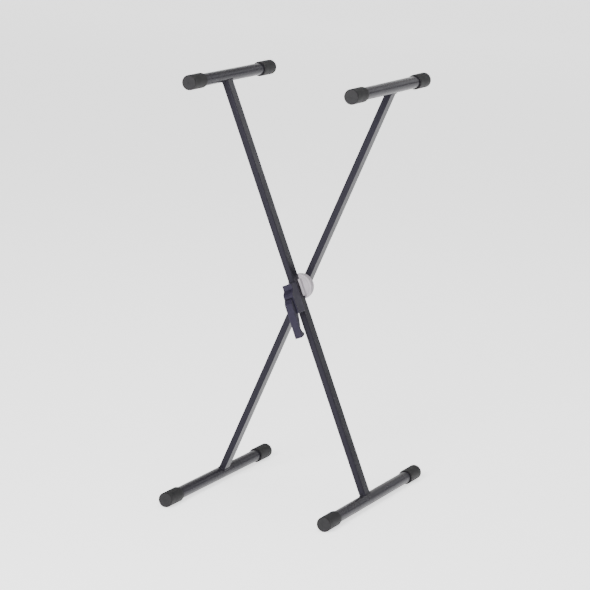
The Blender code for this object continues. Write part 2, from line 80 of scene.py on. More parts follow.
# Sizes shared by several pieces, as in the frame
LEG_LENGTH = 1.020          # between the axes of its two bars
LEG_WIDTH = 0.015
LEG_DEPTH = 0.030
LEG_SPACING = 0.022         # between the legs' facing sides
HALF_SPREAD = 22.5          # lean of each leg at rest, in degrees
BAR_RADIUS = 0.014
ARM_LENGTH = 0.436          # over its caps
FOOT_LENGTH = 0.549
BOLT_BORE = 0.0043
PIN_RADIUS = 0.0025
PIN_BORE = 0.0028
PIN_OFFSET = 0.022          # lock pin below the bolt, along the front leg
CLEARANCE = 0.0003          # between pieces that touch

# How finely pieces are made
CUT_PAST = 0.001            # how far a cutter runs past the face that it cuts
FAR_PAST = 0.010            # the same, where nothing stands behind
MERGED = 0.000002           # points closer than this become one
BAR_SIDES = 128             # steps round a bar, cap or disc
TURNED_SIDES = 96           # steps round any other turned solid
BORE_SIDES = 48
PIN_BORE_SIDES = 40
EDGE_STEPS = 4              # steps of a rounded edge
FINE_STEPS = 3              # steps of a very small one
EASED_STEPS = 2
SHADING_WEIGHT = 60         # how much large faces lead the shading
SMALL_PART_CREASE = 30.0    # in degrees


class Slot(Enum):
    """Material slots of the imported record."""

    PAINT = "frame_paint"
    RUBBER = "cap_rubber"
    HUB = "hub_plastic"
    LEVER = "lever_plastic"
    ZINC = "zinc_steel"


class Cut(Enum):
    """How one solid changes another."""

    TAKE_AWAY = "DIFFERENCE"
    JOIN = "UNION"
    COMMON = "INTERSECT"


class Reckon(Enum):
    """How two values combine."""

    TIMES = "MULTIPLY"
    PLUS = "ADD"


@dataclass(frozen=True)
class Speckle:
    """Noise: its blobs' size in metres, its finer octaves, and its scale along each axis."""

    size: float
    detail: float = 3.0
    stretch: Triple | None = None


@dataclass(frozen=True)
class Relief:
    """A bump: what raises it, how high in metres, and how much of it shows."""

    speckle: Speckle
    height: float
    share: float = 0.6


class NodeBoard:
    """A material's node tree, with short calls for the nodes that the finishes share."""

    def __init__(self, name: str) -> None:
        """Start a material with its Principled shader and object coordinates.

        Args:
            name: the material's name.
        """
        self.material = bpy.data.materials.new(name)
        self.material.use_nodes = True
        self.tree = self.material.node_tree
        self.shader = self.tree.nodes["Principled BSDF"]
        self.place = self.tree.nodes.new("ShaderNodeTexCoord").outputs["Object"]

    def noise(self, speckle: Speckle) -> Any:
        """Add a speckle's noise.

        Args:
            speckle: the noise's size, octaves and stretch.

        Returns:
            The noise factor socket.
        """
        node = self.tree.nodes.new("ShaderNodeTexNoise")
        node.inputs["Scale"].default_value = 1.0 / speckle.size
        node.inputs["Detail"].default_value = speckle.detail
        source = self.place
        if speckle.stretch is not None:
            mapping = self.tree.nodes.new("ShaderNodeMapping")
            mapping.inputs["Scale"].default_value = speckle.stretch
            self.tree.links.new(self.place, mapping.inputs["Vector"])
            source = mapping.outputs["Vector"]
        self.tree.links.new(source, node.inputs["Vector"])
        return node.outputs["Fac"]

    def span(self, source: Any, reads: Pair, gives: Pair) -> Any:
        """Map a value from one range to another, held at its ends.

        Args:
            source: value socket.
            reads: inputs at the two ends.
            gives: outputs at the two ends.

        Returns:
            The mapped value socket.
        """
        node = self.tree.nodes.new("ShaderNodeMapRange")
        node.inputs["From Min"].default_value = reads[0]
        node.inputs["From Max"].default_value = reads[1]
        node.inputs["To Min"].default_value = gives[0]
        node.inputs["To Max"].default_value = gives[1]
        self.tree.links.new(source, node.inputs["Value"])
        return node.outputs["Result"]

    def blend(self, factor: Any, first: Any, second: Any) -> Any:
        """Mix two colours by a factor socket.

        Args:
            factor: share of the second colour.
            first: colour or colour socket.
            second: colour or colour socket.

        Returns:
            The mixed colour socket.
        """
        node = self.tree.nodes.new("ShaderNodeMix")
        node.data_type = "RGBA"
        self.tree.links.new(factor, node.inputs["Factor"])
        colour_sockets = [socket for socket in node.inputs if socket.type == "RGBA"]
        for socket, value in zip(colour_sockets, (first, second)):
            if isinstance(value, tuple):
                socket.default_value = (*value, 1.0)
            else:
                self.tree.links.new(value, socket)
        return [socket for socket in node.outputs if socket.type == "RGBA"][0]

    def facing_up(self) -> Any:
        """Read how far the surface faces up.

        Returns:
            Socket of the normal's upward part, from -1 to 1.
        """
        geometry = self.tree.nodes.new("ShaderNodeNewGeometry")
        split = self.tree.nodes.new("ShaderNodeSeparateXYZ")
        self.tree.links.new(geometry.outputs["Normal"], split.inputs["Vector"])
        return split.outputs["Z"]

    def height(self) -> Any:
        """Read the height over the floor.

        Returns:
            Socket of the height in metres.
        """
        split = self.tree.nodes.new("ShaderNodeSeparateXYZ")
        self.tree.links.new(self.place, split.inputs["Vector"])
        return split.outputs["Z"]

    def combine(self, how: Reckon, first: Any, second: Any) -> Any:
        """Combine two value sockets.

        Args:
            how: whether they are multiplied or added.
            first: value socket.
            second: value socket.

        Returns:
            The resulting value socket.
        """
        node = self.tree.nodes.new("ShaderNodeMath")
        node.operation = how.value
        self.tree.links.new(first, node.inputs[0])
        self.tree.links.new(second, node.inputs[1])
        return node.outputs["Value"]

    def bump(self, relief: Relief, under: Any = None) -> Any:
        """Raise the surface by a relief.

        Args:
            relief: what raises it, how high, and how much of it shows.
            under: normal socket of a coarser relief beneath.

        Returns:
            The normal socket.
        """
        node = self.tree.nodes.new("ShaderNodeBump")
        node.inputs["Distance"].default_value = relief.height
        node.inputs["Strength"].default_value = relief.share
        self.tree.links.new(self.noise(relief.speckle), node.inputs["Height"])
        if under is not None:
            self.tree.links.new(under, node.inputs["Normal"])
        return node.outputs["Normal"]

    def wire(self, name: str, source: Any) -> None:
        """Link a socket into the shader's named input."""
        self.tree.links.new(source, self.shader.inputs[name])

    def fix(self, name: str, value: Any) -> None:
        """Set a constant on the shader's named input."""
        self.shader.inputs[name].default_value = value


@dataclass(frozen=True)
class PowderCoat:
    """Satin black powder coat on steel tube: orange peel, faint dust and hairline rubs.

    A field that ends in _reads holds the noise values between which its effect comes in.
    """

    name: str = "powder_coat"
    colour: Triple = (0.0150, 0.0140, 0.0185)
    rubbed: Triple = (0.020, 0.019, 0.023)
    dust: Triple = (0.10, 0.095, 0.095)
    sheen_tint: Triple = (0.80, 0.77, 1.0)
    refraction: float = 1.18
    roughness: Pair = (0.22, 0.30)
    cloud: Speckle = Speckle(0.060, 2.0)
    cloud_reads: Pair = (0.35, 0.65)
    rubs: Speckle = Speckle(0.012, 6.0, (3.0, 3.0, 0.25))
    rub_reads: Pair = (0.60, 0.78)
    rub_share: float = 0.75
    dust_slope: Pair = (0.55, 1.0)
    dust_share: float = 0.16
    peel: Relief = Relief(Speckle(0.0016, 2.0), 0.00006, 0.55)
    grain: Relief = Relief(Speckle(0.0004, 1.0), 0.00001, 0.35)

    def material(self) -> bpy.types.Material:
        """Mix the coat from a cloudy base, rubs, dust on top and two reliefs.

        Returns:
            The material.
        """
        board = NodeBoard(self.name)
        cloud = board.noise(self.cloud)
        rubbing = board.span(board.noise(self.rubs), self.rub_reads, (0.0, self.rub_share))
        base = board.blend(rubbing, self.colour, self.rubbed)
        lying = board.span(board.facing_up(), self.dust_slope, (0.0, self.dust_share))
        dusting = board.combine(Reckon.TIMES, lying, cloud)
        board.wire("Base Color", board.blend(dusting, base, self.dust))
        board.wire("Roughness", board.span(cloud, self.cloud_reads, self.roughness))
        board.wire("Normal", board.bump(self.grain, board.bump(self.peel)))
        board.fix("IOR", self.refraction)
        board.fix("Specular Tint", (*self.sheen_tint, 1.0))
        return board.material


@dataclass(frozen=True)
class CapRubber:
    """Matt black rubber with a fine cast grain and a little dust."""

    name: str = "cap_rubber"
    colour: Triple = (0.0092, 0.0090, 0.0101)
    bloom: Triple = (0.0175, 0.0170, 0.0184)
    refraction: float = 1.34
    roughness: Pair = (0.62, 0.78)
    cloud: Speckle = Speckle(0.018, 5.0)
    cloud_reads: Pair = (0.3, 0.7)
    bloom_reads: Pair = (0.42, 0.72)
    bloom_share: float = 0.65
    grain: Relief = Relief(Speckle(0.0007), 0.00005)

    def material(self) -> bpy.types.Material:
        """Mix the rubber from its base, a paler bloom and its grain.

        Returns:
            The material.
        """
        board = NodeBoard(self.name)
        cloud = board.noise(self.cloud)
        share = board.span(cloud, self.bloom_reads, (0.0, self.bloom_share))
        board.wire("Base Color", board.blend(share, self.colour, self.bloom))
        board.wire("Roughness", board.span(cloud, self.cloud_reads, self.roughness))
        board.wire("Normal", board.bump(self.grain))
        board.fix("IOR", self.refraction)
        return board.material


@dataclass(frozen=True)
class MouldedPlastic:
    """Injection-moulded plastic with a spark-eroded grain."""

    name: str
    colour: Triple
    worn: Triple
    roughness: Pair
    refraction: float = 1.49
    sheen_tint: Triple = (1.0, 1.0, 1.0)
    cloud: Speckle = Speckle(0.014, 4.0)
    cloud_reads: Pair = (0.3, 0.7)
    worn_reads: Pair = (0.40, 0.75)
    worn_share: float = 0.7
    grain: Relief = Relief(Speckle(0.0005), 0.00002)

    def material(self) -> bpy.types.Material:
        """Mix the plastic from its base, its worn places and its grain.

        Returns:
            The material.
        """
        board = NodeBoard(self.name)
        cloud = board.noise(self.cloud)
        share = board.span(cloud, self.worn_reads, (0.0, self.worn_share))
        board.wire("Base Color", board.blend(share, self.colour, self.worn))
        board.wire("Roughness", board.span(cloud, self.cloud_reads, self.roughness))
        board.wire("Normal", board.bump(self.grain))
        board.fix("IOR", self.refraction)
        board.fix("Specular Tint", (*self.sheen_tint, 1.0))
        return board.material


@dataclass(frozen=True)
class PlatedSteel:
    """Zinc or black plate on turned and pressed steel."""

    name: str
    colour: Triple
    tint: Triple
    roughness: Pair = (0.24, 0.40)
    cloud: Speckle = Speckle(0.005, 4.0)
    cloud_reads: Pair = (0.3, 0.7)
    marks: Relief = Relief(Speckle(0.0009, 2.0, (1.0, 6.0, 1.0)), 0.00001, 0.4)

    def material(self) -> bpy.types.Material:
        """Mix the plate from two tints and its turning marks.

        Returns:
            The material.
        """
        board = NodeBoard(self.name)
        cloud = board.noise(self.cloud)
        board.wire("Base Color", board.blend(cloud, self.colour, self.tint))
        board.wire("Roughness", board.span(cloud, self.cloud_reads, self.roughness))
        board.wire("Normal", board.bump(self.marks))
        board.fix("Metallic", 1.0)
        return board.material


@dataclass(frozen=True)
class StudioPaper:
    """White paper, lit through at the floor and, more softly, high up the backdrop."""

    name: str = "studio_paper"
    colour: Triple = (0.90, 0.90, 0.90)
    grey: Triple = (0.50, 0.50, 0.50)
    roughness: float = 0.9
    gloss: float = 0.1
    fade: Pair = (0.35, 0.90)   # heights between which the floor's light dims
    low_glow: Pair = (1.6, 0.15)
    rise: Pair = (2.4, 3.0)     # heights between which the backdrop's light comes in
    high_glow: Pair = (0.0, 1.30)

    def material(self) -> bpy.types.Material:
        """Mix the paper by height, white and lit below, grey and lit above.

        Returns:
            The material.
        """
        board = NodeBoard(self.name)
        height = board.height()
        share = board.span(height, self.fade, (0.0, 1.0))
        board.wire("Base Color", board.blend(share, self.colour, self.grey))
        board.fix("Roughness", self.roughness)
        board.fix("Specular IOR Level", self.gloss)
        board.fix("Emission Color", (1.0, 1.0, 1.0, 1.0))
        low = board.span(height, self.fade, self.low_glow)
        high = board.span(height, self.rise, self.high_glow)
        board.wire("Emission Strength", board.combine(Reckon.PLUS, low, high))
        return board.material


Finish = PowderCoat | CapRubber | MouldedPlastic | PlatedSteel | StudioPaper


@dataclass(frozen=True)
class LegFrame:
    """One leg's frame at the pivot bolt."""

    body: str
    side: int
    tilt: float
    pivot_height: float

    def matrix(self) -> Matrix:
        """Return the leg frame's place in the whole model's frame."""
        return Matrix.Translation((0, 0, self.pivot_height)) @ Matrix.Rotation(self.tilt, 4, "Y")

    def called(self, word: str) -> str:
        """Return a name with word in place of frame, such as front_leg."""
        return self.body.replace("frame", word)


class Shapes:
    """Solids made as bmeshes in a leg's frame."""

    @staticmethod
    def arc(centre: Pair, radius: float, start: float, end: float, steps: int) -> list[Pair]:
        """Points of an arc.

        Args:
            centre: middle of the arc.
            radius: its radius.
            start: first angle in degrees.
            end: last angle in degrees.
            steps: number of straight stretches.

        Returns:
            The points, from start to end.
        """
        angles = [math.radians(start + (end - start) * i / steps) for i in range(steps + 1)]
        return [(centre[0] + radius * math.cos(angle), centre[1] + radius * math.sin(angle))
                for angle in angles]

    @staticmethod
    def turned(profile: Sequence[Pair], side: int, sides: int = TURNED_SIDES,
               closed: bool = False, place: Pair = (0.0, 0.0)) -> bmesh.types.BMesh:
        """Spin a profile round an axis along the bolt.

        Args:
            profile: points of (radius, depth).
            side: -1 for the front leg, +1 for the rear one.
            sides: number of steps round the axis.
            closed: whether the profile's last point joins its first.
            place: axis place across and along the leg.

        Returns:
            A closed solid.
        """
        form = bmesh.new()
        points = [form.verts.new((radius, side * depth, 0)) for radius, depth in profile]
        lines = [form.edges.new(pair) for pair in zip(points, points[1:])]
        if closed:
            lines.append(form.edges.new((points[-1], points[0])))
        bmesh.ops.spin(form, geom=points + lines, cent=(0, 0, 0), axis=(0, 1, 0), dvec=(0, 0, 0),
                       angle=2 * math.pi, steps=sides, use_merge=True)
        bmesh.ops.remove_doubles(form, verts=form.verts, dist=MERGED)
        bmesh.ops.recalc_face_normals(form, faces=form.faces)
        bmesh.ops.translate(form, verts=form.verts, vec=(place[0], 0, place[1]))
        return form

    @staticmethod
    def block(across: Pair, depth: Pair, along: Pair, side: int,
              radius: float = 0.0) -> bmesh.types.BMesh:
        """A box with rounded edges.

        Args:
            across: span across the leg.
            depth: span of depths from the mid plane.
            along: span along the leg.
            side: -1 for the front leg, +1 for the rear one.
            radius: edge rounding, or none at 0.

        Returns:
            A closed solid.
        """
        form = bmesh.new()
        bmesh.ops.create_cube(form, size=1.0)
        spans = (across, tuple(sorted((side * depth[0], side * depth[1]))), along)
        bmesh.ops.scale(form, vec=[high - low for low, high in spans], verts=form.verts)
        bmesh.ops.translate(form, vec=[(high + low) / 2 for low, high in spans], verts=form.verts)
        if radius > 0:
            Shapes.round_edges(form, form.edges[:], radius, EDGE_STEPS)
        return form

    @staticmethod
    def plate(outline: Sequence[Pair], width: float, side: int,
              radius: float = 0.0) -> bmesh.types.BMesh:
        """An outline of (depth, along) extruded across the leg, with rounded edges.

        Args:
            outline: corners in order.
            width: size across the leg, centred.
            side: -1 for the front leg, +1 for the rear one.
            radius: edge rounding, or none at 0.

        Returns:
            A closed solid.
        """
        form = bmesh.new()
        corners = [form.verts.new((-width / 2, side * depth, along)) for depth, along in outline]
        face = form.faces.new(corners)
        grown = bmesh.ops.extrude_face_region(form, geom=[face])
        moved = [item for item in grown["geom"] if isinstance(item, bmesh.types.BMVert)]
        bmesh.ops.translate(form, vec=(width, 0, 0), verts=moved)
        bmesh.ops.recalc_face_normals(form, faces=form.faces)
        if radius > 0:
            Shapes.round_edges(form, form.edges[:], radius, EDGE_STEPS)
        return form

    @staticmethod
    def round_edges(form: bmesh.types.BMesh, edges: list[bmesh.types.BMEdge], radius: float,
                    segments: int) -> None:
        """Round edges of a solid.

        Args:
            form: the solid.
            edges: what is rounded.
            radius: size of the rounding.
            segments: its steps.
        """
        bmesh.ops.bevel(form, geom=edges, offset=radius, offset_type="OFFSET", segments=segments,
                        profile=0.5, affect="EDGES", clamp_overlap=True, material=-1)


class Workshop:
    """Makes objects out of solids, cuts them, dresses them and mounts them on their bodies."""

    def __init__(self) -> None:
        """Start with no finishes made."""
        self.finishes: dict[str, bpy.types.Material] = {}

    def finish(self, finish: Finish) -> bpy.types.Material:
        """Look up a finish's material, which is made once.

        Args:
            finish: the finish.

        Returns:
            Its material.
        """
        if finish.name not in self.finishes:
            self.finishes[finish.name] = finish.material()
        return self.finishes[finish.name]

    def draft(self, name: str, form: bmesh.types.BMesh) -> bpy.types.Object:
        """Turn a solid into an object.

        Args:
            name: the object's name.
            form: the solid, which is freed.

        Returns:
            The object.
        """
        mesh = bpy.data.meshes.new(name)
        form.to_mesh(mesh)
        form.free()
        item = bpy.data.objects.new(name, mesh)
        bpy.context.scene.collection.objects.link(item)
        return item

    def carve(self, item: bpy.types.Object, tool: bmesh.types.BMesh,
              cut: Cut = Cut.TAKE_AWAY) -> None:
        """Cut an object with a solid, or join them.

        Args:
            item: the object that changes.
            tool: the solid, which is used up.
            cut: how the two combine.
        """
        cutter = self.draft(item.name + "_tool", tool)
        boolean = item.modifiers.new("cut", "BOOLEAN")
        boolean.operation = cut.value
        boolean.solver = "EXACT"
        boolean.object = cutter
        self.apply(item)
        bpy.data.objects.remove(cutter, do_unlink=True)

    def drill(self, item: bpy.types.Object, radius: float, depth: Pair, side: int,
              place: Pair = (0.0, 0.0), sides: int = BORE_SIDES) -> None:
        """Cut a round hole along the bolt's direction.

        Args:
            item: the object that changes.
            radius: the hole's radius.
            depth: the depths where it starts and ends.
            side: -1 for the front leg, +1 for the rear one.
            place: the hole's axis across and along the leg.
            sides: number of steps round the hole.
        """
        low, high = depth
        profile = [(0, high), (radius, high), (radius, low), (0, low)]
        self.carve(item, Shapes.turned(profile, side, sides, place=place))

    def apply(self, item: bpy.types.Object) -> None:
        """Apply an object's modifiers to its mesh.

        Args:
            item: the object.
        """
        bpy.context.view_layer.update()
        graph = bpy.context.evaluated_depsgraph_get()
        baked = bpy.data.meshes.new_from_object(item.evaluated_get(graph))
        item.modifiers.clear()
        old = item.data
        item.data = baked
        bpy.data.meshes.remove(old)
        baked.name = item.name

    def ease(self, item: bpy.types.Object, width: float, angle: float) -> None:
        """Round an object's sharp edges and apply the rounding.

        Args:
            item: the object.
            width: size of the rounding.
            angle: edges sharper than this, in degrees, are rounded.
        """
        bevel = item.modifiers.new("ease", "BEVEL")
        bevel.width = width
        bevel.segments = EASED_STEPS
        bevel.limit_method = "ANGLE"
        bevel.angle_limit = math.radians(angle)
        bevel.use_clamp_overlap = True
        self.apply(item)

    def mount(self, item: bpy.types.Object, leg: LegFrame, finish: Finish,
              nodes: Sequence[str] = (), body: str = "", crease: float = 40.0) -> bpy.types.Object:
        """Put a finished piece in place on its body.

        Args:
            item: the piece, in its leg's frame.
            leg: that frame.
            finish: its finish.
            nodes: nodes of the frame that it stands for.
            body: the body that it rides on, or the leg's own where this is empty.
            crease: edges sharper than this, in degrees, stay sharp.

        Returns:
            The piece.
        """
        item.data.transform(leg.matrix())
        item.data.shade_smooth()
        item.data.set_sharp_from_angle(angle=math.radians(crease))
        item.data.materials.clear()
        item.data.materials.append(self.finish(finish))
        even = item.modifiers.new("even_shading", "WEIGHTED_NORMAL")
        even.keep_sharp = True
        even.weight = SHADING_WEIGHT
        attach(item, body or leg.body)
        if nodes:
            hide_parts(*nodes)
        LOG.info("made %s", item.name)
        return item


@dataclass
class Finishes:
    """The stand's finishes."""

    paint: PowderCoat = PowderCoat()
    rubber: CapRubber = CapRubber()
    hub: MouldedPlastic = MouldedPlastic(
        "hub_plastic", colour=(0.345, 0.318, 0.345), worn=(0.275, 0.252, 0.278),
        roughness=(0.42, 0.55), refraction=1.30)
    lever: MouldedPlastic = MouldedPlastic(
        "lever_plastic", colour=(0.0122, 0.0101, 0.0196), worn=(0.0174, 0.0150, 0.0256),
        roughness=(0.42, 0.56), refraction=1.28, sheen_tint=(0.84, 0.81, 1.0))
    nylon: MouldedPlastic = MouldedPlastic(
        "nylon", colour=(0.75, 0.74, 0.70), worn=(0.68, 0.67, 0.62), roughness=(0.45, 0.6))
    zinc: PlatedSteel = PlatedSteel(
        "zinc_plate", colour=(0.62, 0.62, 0.64), tint=(0.56, 0.56, 0.55))
    black_steel: PlatedSteel = PlatedSteel(
        "black_steel", colour=(0.060, 0.060, 0.064), tint=(0.045, 0.045, 0.048))


@dataclass
class LegTube:
    """A rectangular leg tube with coped ends and a weld bead round each."""

    width: float = LEG_WIDTH
    depth: float = LEG_DEPTH
    wall: float = 0.0015
    corner: float = 0.0022
    corner_steps: int = 6
    length: float = LEG_LENGTH
    crease: float = 30.0
    bead_radius: float = 0.0021
    bead_ripple: float = 0.00028
    bead_pitch: float = 0.0026
    bead_roundness: int = 3
    bead_crease: float = 60.0
    points_per_corner: int = 5
    points_per_ripple: int = 5

    def middle_depth(self) -> float:
        """Return the depth of the tube's centre line from the mid plane."""
        return LEG_SPACING / 2 + self.depth / 2

    def build(self, shop: Workshop, leg: LegFrame, finish: Finish, has_lock: bool) -> None:
        """Make the tube and its weld beads.

        Args:
            shop: the workshop.
            leg: the leg's frame.
            finish: the paint.
            has_lock: whether the lock pin passes through this leg.
        """
        form = bmesh.new()
        bmesh.ops.create_cube(form, size=1.0)
        bmesh.ops.scale(form, vec=(self.width, self.depth, self.length), verts=form.verts)
        ends = [face for face in form.faces if abs(face.normal.z) > 0.9]
        bmesh.ops.delete(form, geom=ends, context="FACES_ONLY")
        edges = [edge for edge in form.edges if edge.calc_length() > self.length / 2]
        Shapes.round_edges(form, edges, self.corner, self.corner_steps)
        bmesh.ops.recalc_face_normals(form, faces=form.faces)
        bmesh.ops.translate(form, verts=form.verts, vec=(0, leg.side * self.middle_depth(), 0))
        bmesh.ops.solidify(form, geom=form.faces[:], thickness=self.wall)
        tube = shop.draft(leg.called("leg_tube"), form)
        near = LEG_SPACING / 2 - 2 * CUT_PAST
        far = LEG_SPACING / 2 + self.depth + FAR_PAST
        for end in (1, -1):
            shop.drill(tube, BAR_RADIUS + CLEARANCE, (-far, far), leg.side,
                       (0, end * self.length / 2), TURNED_SIDES)
        shop.drill(tube, BOLT_BORE, (near, far), leg.side)
        if has_lock:
            shop.drill(tube, PIN_BORE, (near, far), leg.side, (0, -PIN_OFFSET))
        shop.mount(tube, leg, finish, [leg.called("leg")], crease=self.crease)
        for name, end in (("arm", 1), ("foot", -1)):
            self.weld(shop, leg, finish, name, end)

    def outline(self) -> list[Pair]:
        """Walk round the tube's outside.

        Returns:
            Points across the leg and along the bolt, from the tube's centre line.
        """
        half_width = self.width / 2 - self.corner
        half_depth = self.depth / 2 - self.corner
        points: list[Pair] = []
        corners = ((1, 1, 0), (-1, 1, 90), (-1, -1, 180), (1, -1, 270))
        for index, (x_sign, y_sign, angle) in enumerate(corners):
            centre = (x_sign * half_width, y_sign * half_depth)
            points += Shapes.arc(centre, self.corner, angle, angle + 90, self.points_per_corner)
            ahead = corners[(index + 1) % 4]
            straight = 2 * (half_width if ahead[0] != x_sign else half_depth)
            start = Vector(points[-1])
            goal = Vector((ahead[0] * half_width, ahead[1] * half_depth))
            turn = math.radians(ahead[2])
            goal += Vector((math.cos(turn), math.sin(turn))) * self.corner
            steps = max(2, round(straight / (self.bead_pitch / self.points_per_ripple)))
            points += [tuple(start.lerp(goal, i / steps)) for i in range(1, steps)]
        return points

    def weld(self, shop: Workshop, leg: LegFrame, finish: Finish, name: str, end: int) -> None:
        """Run a rippled weld bead round one coped end.

        Args:
            shop: the workshop.
            leg: the leg's frame.
            finish: the paint over the bead.
            name: arm or foot.
            end: +1 at the top of the leg, -1 at its foot.
        """
        curve = bpy.data.curves.new("bead", "CURVE")
        curve.dimensions = "3D"
        curve.bevel_depth = 1.0
        curve.bevel_resolution = self.bead_roundness
        spline = curve.splines.new("POLY")
        outline = self.outline()
        spline.points.add(len(outline) - 1)
        spline.use_cyclic_u = True
        travelled = 0.0
        last = outline[0]
        for point, (x, y) in zip(spline.points, outline):
            travelled += math.dist((x, y), last)
            last = (x, y)
            reach = math.sqrt(BAR_RADIUS ** 2 - x ** 2)
            height = end * (self.length / 2 - reach)
            point.co = (x, leg.side * self.middle_depth() + y, height, 1)
            ripple = abs(math.sin(math.pi * travelled / self.bead_pitch))
            point.radius = self.bead_radius - self.bead_ripple * (1 - ripple)
        drawn = bpy.data.objects.new("bead", curve)
        bpy.context.scene.collection.objects.link(drawn)
        bpy.context.view_layer.update()
        graph = bpy.context.evaluated_depsgraph_get()
        mesh = bpy.data.meshes.new_from_object(drawn.evaluated_get(graph))
        bpy.data.objects.remove(drawn, do_unlink=True)
        bead = bpy.data.objects.new(f"{leg.body}_{name}_weld", mesh)
        bpy.context.scene.collection.objects.link(bead)
        shop.mount(bead, leg, finish, crease=self.bead_crease)


@dataclass
class Bar:
    """A round bar across one end of a leg, with its two rubber caps."""

    name: str
    length: float
    end: int
    radius: float = BAR_RADIUS
    wall: float = 0.0015
    cap_radius: float = 0.01718
    cap_length: float = 0.062
    cap_floor: float = 0.004
    cap_edge: float = 0.0031
    cap_edge_steps: int = 8
    lip: float = 0.0007
    mouth_bevel: float = 0.0002
    mouth_depth: float = 0.0004
    gate_radius: float = 0.0022
    gate_depth: float = 0.0004
    gate_slope: float = 0.0003
    crease: float = 50.0

    def build(self, shop: Workshop, leg: LegFrame, finishes: Finishes) -> None:
        """Make the bar and its caps.

        Args:
            shop: the workshop.
            leg: the frame of the leg that carries it.
            finishes: the stand's finishes.
        """
        stem = leg.called(self.name)
        half = self.length / 2 - self.cap_floor - CLEARANCE
        inner = self.radius - self.wall
        place = (0.0, self.end * LEG_LENGTH / 2)
        profile = [(inner, half), (self.radius, half), (self.radius, -half), (inner, -half)]
        form = Shapes.turned(profile, 1, BAR_SIDES, closed=True, place=place)
        tube = shop.draft(stem + "_tube", form)
        shop.mount(tube, leg, finishes.paint, [stem], crease=self.crease)
        for word, way in (("near", -1), ("far", 1)):
            cap = shop.draft(f"{stem}_{word}_cap", self.cap(way, place))
            shop.mount(cap, leg, finishes.rubber, [f"{stem}_cap_{word}"],
                       crease=self.crease)

    def cap(self, way: int, place: Pair) -> bmesh.types.BMesh:
        """Model one cap with a rounded end, a soft lip and its moulding gate.

        Args:
            way: -1 for the near end, +1 for the far one.
            place: the bar's axis across and along the leg.

        Returns:
            The cap as a closed solid.
        """
        tip = self.length / 2
        mouth = tip - self.cap_length
        floor = tip - self.cap_floor
        bore = self.radius + CLEARANCE
        gate = [(0, tip - self.gate_depth), (self.gate_radius, tip - self.gate_depth),
                (self.gate_radius + self.gate_slope, tip)]
        edge_centre = (self.cap_radius - self.cap_edge, tip - self.cap_edge)
        edge = Shapes.arc(edge_centre, self.cap_edge, 90, 0, self.cap_edge_steps)
        lip_centre = (self.cap_radius - self.lip, mouth + self.lip)
        lip = Shapes.arc(lip_centre, self.lip, 0, -90, EDGE_STEPS)
        inside = [(bore + self.mouth_bevel, mouth), (bore, mouth + self.mouth_depth),
                  (bore, floor), (0, floor)]
        return Shapes.turned(gate + edge + lip + inside, way, BAR_SIDES, place=place)


@dataclass
class HubHalf:
    """One half of the light grey hub: a stepped disc with a saddle round its leg."""

    radius: float = 0.0297
    step_radius: float = 0.0250
    step_height: float = 0.0013
    edge: float = 0.0026
    edge_steps: int = 6
    step_edge: float = 0.0006
    fine_edge: float = 0.0004
    split: float = 0.0005
    recess_radius: float = 0.0098
    recess_floor: float = 0.00105
    saddle_wall: float = 0.0050
    saddle_top: float = 0.018
    saddle_bottom: float = -0.022
    saddle_reach: float = 0.011
    saddle_edge: float = 0.0012
    hole_depth: float = 0.008
    hole_turns: tuple[float, ...] = (-40.0, -20.0, 0.0, 20.0, 40.0, 60.0)
    sharp: float = 50.0
    crease: float = 35.0

    def build(self, shop: Workshop, leg: LegFrame, finish: Finish) -> None:
        """Make the hub half on its leg.

        Args:
            shop: the workshop.
            leg: the leg's frame.
            finish: the hub's plastic.
        """
        inner = self.split / 2
        outer = LEG_SPACING / 2 - CLEARANCE
        low_step = outer - self.step_height
        fine = self.fine_edge
        step_centre = (self.step_radius - self.step_edge, outer - self.step_edge)
        profile = [(BOLT_BORE, outer)]
        profile += Shapes.arc(step_centre, self.step_edge, 90, 0, FINE_STEPS)
        profile += [(self.step_radius, low_step)]
        edge_centre = (self.radius - self.edge, low_step - self.edge)
        profile += Shapes.arc(edge_centre, self.edge, 90, 0, self.edge_steps)
        profile += Shapes.arc((self.radius - fine, inner + fine), fine, 0, -90, FINE_STEPS)
        profile += [(self.recess_radius, inner), (self.recess_radius, self.recess_floor),
                    (BOLT_BORE, self.recess_floor)]
        form = Shapes.turned(profile, leg.side, BAR_SIDES, closed=True)
        hub = shop.draft(leg.called("hub"), form)
        near = LEG_WIDTH / 2 + CLEARANCE
        far = near + self.saddle_wall
        end = LEG_SPACING / 2 + self.saddle_reach
        for across in ((-far, -near), (near, far)):
            wall = Shapes.block(across, ((inner + outer) / 2, end),
                                (self.saddle_bottom, self.saddle_top), leg.side, self.saddle_edge)
            shop.carve(hub, wall, Cut.JOIN)
        shop.ease(hub, fine, self.sharp)
        for place, depth in self.pin_holes(leg, inner, outer):
            shop.drill(hub, PIN_BORE, depth, leg.side, place, PIN_BORE_SIDES)
        shop.drill(hub, BOLT_BORE, (inner, outer + CUT_PAST), leg.side)
        name = "hub_front" if leg.side < 0 else "hub_rear"
        shop.mount(hub, leg, finish, [name], crease=self.crease)

    def pin_holes(self, leg: LegFrame, inner: float, outer: float) -> list[tuple[Pair, Pair]]:
        """Place the holes for the lock pin.

        Args:
            leg: the leg's frame.
            inner: depth of the hub half's inner face.
            outer: depth of its outer face.

        Returns:
            Each hole's axis across and along the leg, and the depths where it starts and ends.
        """
        low = inner - CUT_PAST
        if leg.side < 0:
            return [((0.0, -PIN_OFFSET), (low, outer + CUT_PAST))]
        angles = [math.radians(2 * HALF_SPREAD + turn) for turn in self.hole_turns]
        return [((PIN_OFFSET * math.sin(angle), -PIN_OFFSET * math.cos(angle)),
                 (low, inner + self.hole_depth)) for angle in angles]


